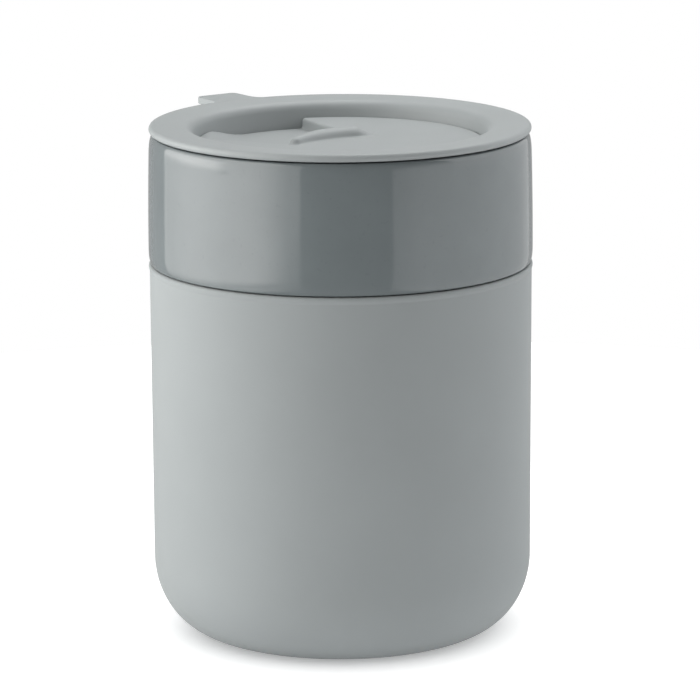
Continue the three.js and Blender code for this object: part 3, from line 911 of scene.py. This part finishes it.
ACROSS, UPWARDS = (0, 1, 0), (0, 0, 1)
WHITE = (1, 1, 1, 1)
WARM_WHITE = (1, 0.985, 0.965, 1)
PANELS = {
    "left_softbox": SoftPanel(
        "key", (0.84, 0.97), (-0.32, -0.265, 0.2), "Y", WARM_WHITE,
        (
            (ACROSS, (-0.6, 0.38), (-0.2, 1)),
            (ACROSS, (-0.05, 1), (0.2, 0.42)),
            (UPWARDS, (-0.07, 0.45), (0.01, 1)),
        ),
    ),
    # The cloth of the left softbox is brightest where its lamp stands behind it
    "left_lamp": SoftPanel(
        "lamp", (0.13, 0.36), (-0.318, 0.04, 0.145), "Y", WARM_WHITE,
        (
            (ACROSS, (-0.14, 0.6), (-0.07, 1)),
            (ACROSS, (-0.02, 1), (0.2, 0.45)),
            (UPWARDS, (0.08, 0.6), (0.12, 1)),
        ),
    ),
    "right_softbox": SoftPanel(
        "fill", (0.84, 0.73), (0.32, 0.235, 0.2), "Y", WHITE,
        ((ACROSS, (-0.02, 1), (0.3, 0.7)), (UPWARDS, (0.02, 1), (0.3, 1.6))),
    ),
    "low_card": SoftPanel(
        "card", (0.53, 0.42), (0.32, -0.34, 0.065), "Y", WHITE,
        ((ACROSS, (-0.5, 0.65), (-0.25, 1)), (UPWARDS, (0.15, 1), (0.3, 0.2))),
    ),
    "top_panel": SoftPanel(
        "top", (0.4, 1.2), (0.14, 0.1, 0.62), "", WHITE,
        ((ACROSS, (-0.25, 0), (0.12, 1)),),
    ),
}
TABLE_LIGHT_PLACE = (0, 0, 0.7)
TABLE_LIGHT_WIDTH = 3
TABLE_WHITE = (0.95, 0.95, 0.95, 1)
# The way, seen from the mug, in which the room is brightest
ROOM_BRIGHT_WAY = (0.45, 0.89, 0)
SENSOR_WIDTH = 36
NEAREST, FARTHEST = 0.01, 20


class MUG_OT_studio(bpy.types.Operator):
    """Set the mug on a pale round table between softboxes, and aim the camera"""

    bl_idname = "mug.studio"
    bl_label = "Studio"

    def set_table(self, studio):
        """A round opal table top under the mug."""
        bpy.ops.object.select_all(action="DESELECT")
        bpy.ops.mesh.primitive_circle_add(
            vertices=SPIN_STEPS, radius=studio.floor_radius, fill_type="NGON", enter_editmode=True, location=(0, 0, 0)
        )
        table = bpy.context.object
        table.name = "table"
        bpy.ops.object.mode_set(mode="OBJECT")
        material, tree, place = new_material("opal_acrylic")
        grain = add_node(tree, "ShaderNodeTexNoise", {"Vector": place, "Scale": per_metre(2), "Detail": 2})
        rough = add_node(tree, "ShaderNodeMapRange", {
            "Value": grain.outputs["Fac"], "To Min": 0.75, "To Max": 0.85,
        })
        set_surface(tree, add_node(tree, "ShaderNodeBsdfPrincipled", {
            "Base Color": TABLE_WHITE, "Roughness": rough.outputs["Result"], "Specular IOR Level": 0.1,
            "Emission Color": WHITE, "Emission Strength": studio.table_glow,
        }))
        table.data.materials.append(material)
        table.visible_glossy = False
        return table

    def set_panel(self, name, soft, strength):
        """A flat panel that glows, drawn level, then turned and set in place."""
        bpy.ops.object.select_all(action="DESELECT")
        bpy.ops.mesh.primitive_plane_add(size=1, enter_editmode=True, location=(0, 0, 0))
        panel = bpy.context.object
        panel.name = name
        bpy.ops.transform.resize(value=(*soft.extent, 1))
        if soft.turned:
            bpy.ops.transform.rotate(value=math.pi / 2, orient_axis=soft.turned, center_override=(0, 0, 0))
        bpy.ops.transform.translate(value=soft.place)
        bpy.ops.object.mode_set(mode="OBJECT")
        material, tree, spot = new_material(name + "_cloth")
        level = strength
        for line, start, end in soft.fades:
            along = add_node(tree, "ShaderNodeVectorMath", {0: spot, 1: line}, operation="DOT_PRODUCT")
            share = add_node(tree, "ShaderNodeMapRange", {
                "Value": along.outputs["Value"], "From Min": start[0], "From Max": end[0],
                "To Min": start[1], "To Max": end[1],
            }, interpolation_type="SMOOTHSTEP")
            faded = add_node(tree, "ShaderNodeMath", {0: level, 1: share.outputs["Result"]}, operation="MULTIPLY")
            level = faded.outputs["Value"]
        set_surface(tree, add_node(tree, "ShaderNodeEmission", {"Color": soft.tint, "Strength": level}))
        panel.data.materials.append(material)
        panel.visible_camera = False

    def light_table(self, studio, table):
        """A wide light for the table alone: the panels neither block it nor light the table themselves."""
        bpy.ops.object.light_add(type="AREA", location=TABLE_LIGHT_PLACE)
        light = bpy.context.object
        light.name = "table_light"
        light.data.shape = "DISK"
        light.data.size = TABLE_LIGHT_WIDTH
        light.data.energy = studio.table_light
        light.visible_camera = False
        lit = bpy.data.collections.new("lit_by_table_light")
        lit.objects.link(table)
        light.light_linking.receiver_collection = lit
        spared = bpy.data.collections.new("spared_by_panels")
        spared.objects.link(table)
        spared.collection_objects[0].light_linking.link_state = "EXCLUDE"
        clear = bpy.data.collections.new("clear_to_table_light")
        light.light_linking.blocker_collection = clear
        for name in PANELS:
            bpy.data.objects[name].light_linking.receiver_collection = spared
            clear.objects.link(bpy.data.objects[name])
        for member in clear.collection_objects:
            member.light_linking.link_state = "EXCLUDE"

    def light_room(self, scene, strength):
        """A dim room that is brighter on one side, before a white backdrop."""
        world = bpy.data.worlds.new("white_room")
        scene.world = world
        world.use_nodes = True
        tree = world.node_tree
        tree.nodes.clear()
        way = add_node(tree, "ShaderNodeTexCoord").outputs["Generated"]
        depth = add_node(tree, "ShaderNodeVectorMath", {0: way, 1: ROOM_BRIGHT_WAY}, operation="DOT_PRODUCT")
        dim = add_node(tree, "ShaderNodeMapRange", {
            "Value": depth.outputs["Value"], "From Min": -1, "To Max": strength,
        })
        seen = add_node(tree, "ShaderNodeLightPath").outputs["Is Camera Ray"]
        level = add_node(tree, "ShaderNodeMapRange", {"Value": seen, "To Min": dim.outputs["Result"], "To Max": 1})
        backdrop = add_node(tree, "ShaderNodeBackground", {"Color": WHITE, "Strength": level.outputs["Result"]})
        add_node(tree, "ShaderNodeOutputWorld", {"Surface": backdrop.outputs[0]})

    def aim_camera(self, scene, studio):
        """The camera, aimed at the mug and tilted about its line of sight."""
        bpy.ops.object.camera_add(location=studio.camera_place)
        camera = bpy.context.object
        camera.name = "camera"
        camera.data.lens = studio.lens
        camera.data.sensor_width = SENSOR_WIDTH
        camera.data.dof.use_dof = False
        line = Vector(studio.camera_aim) - Vector(studio.camera_place)
        camera.rotation_mode = "QUATERNION"
        camera.rotation_quaternion = (
            line.to_track_quat("-Z", "Y") @ Euler((0, 0, studio.camera_roll)).to_quaternion()
        )
        camera.data.clip_start, camera.data.clip_end = NEAREST, FARTHEST
        scene.camera = camera

    def execute(self, context):
        scene = context.scene
        studio = scene.mug_studio
        table = self.set_table(studio)
        for name, soft in PANELS.items():
            self.set_panel(name, soft, getattr(studio, soft.setting))
        self.light_table(studio, table)
        self.light_room(scene, studio.room)
        self.aim_camera(scene, studio)
        scene.view_settings.view_transform = "Standard"
        return {"FINISHED"}


OPERATORS = (MUG_OT_sleeve, MUG_OT_cup, MUG_OT_lid, MUG_OT_shutter, MUG_OT_seals, MUG_OT_studio)
SETTINGS = {
    "mug_sleeve": SleeveSizes,
    "mug_cup": CupSizes,
    "mug_lid": LidSizes,
    "mug_shutter": ShutterSizes,
    "mug_seals": SealSizes,
    "mug_finishes": MugFinishes,
    "mug_studio": StudioSettings,
}


class MUG_PT_pieces(bpy.types.Panel):
    """The mug's pieces and the sizes and colours behind them"""

    bl_idname = "MUG_PT_pieces"
    bl_label = "Travel Mug"
    bl_space_type = "VIEW_3D"
    bl_region_type = "UI"
    bl_category = "Mug"

    def draw(self, context):
        for operator in OPERATORS:
            self.layout.operator(operator.bl_idname)
        for name, group in SETTINGS.items():
            box = self.layout.box()
            box.label(text=group.__name__)
            for key in group.__annotations__:
                box.prop(getattr(context.scene, name), key)


def register():
    for group in SETTINGS.values():
        bpy.utils.register_class(group)
    for name, group in SETTINGS.items():
        setattr(bpy.types.Scene, name, PointerProperty(type=group))
    for operator in OPERATORS:
        bpy.utils.register_class(operator)
    bpy.utils.register_class(MUG_PT_pieces)


def unregister():
    bpy.utils.unregister_class(MUG_PT_pieces)
    for operator in reversed(OPERATORS):
        bpy.utils.unregister_class(operator)
    for name in SETTINGS:
        delattr(bpy.types.Scene, name)
    for group in reversed(SETTINGS.values()):
        bpy.utils.unregister_class(group)


def main():
    register()
    bpy.ops.mug.sleeve()
    bpy.ops.mug.cup()
    bpy.ops.mug.lid()
    bpy.ops.mug.shutter()
    bpy.ops.mug.seals()
    bpy.ops.mug.studio()


if __name__ == "__main__":
    main()
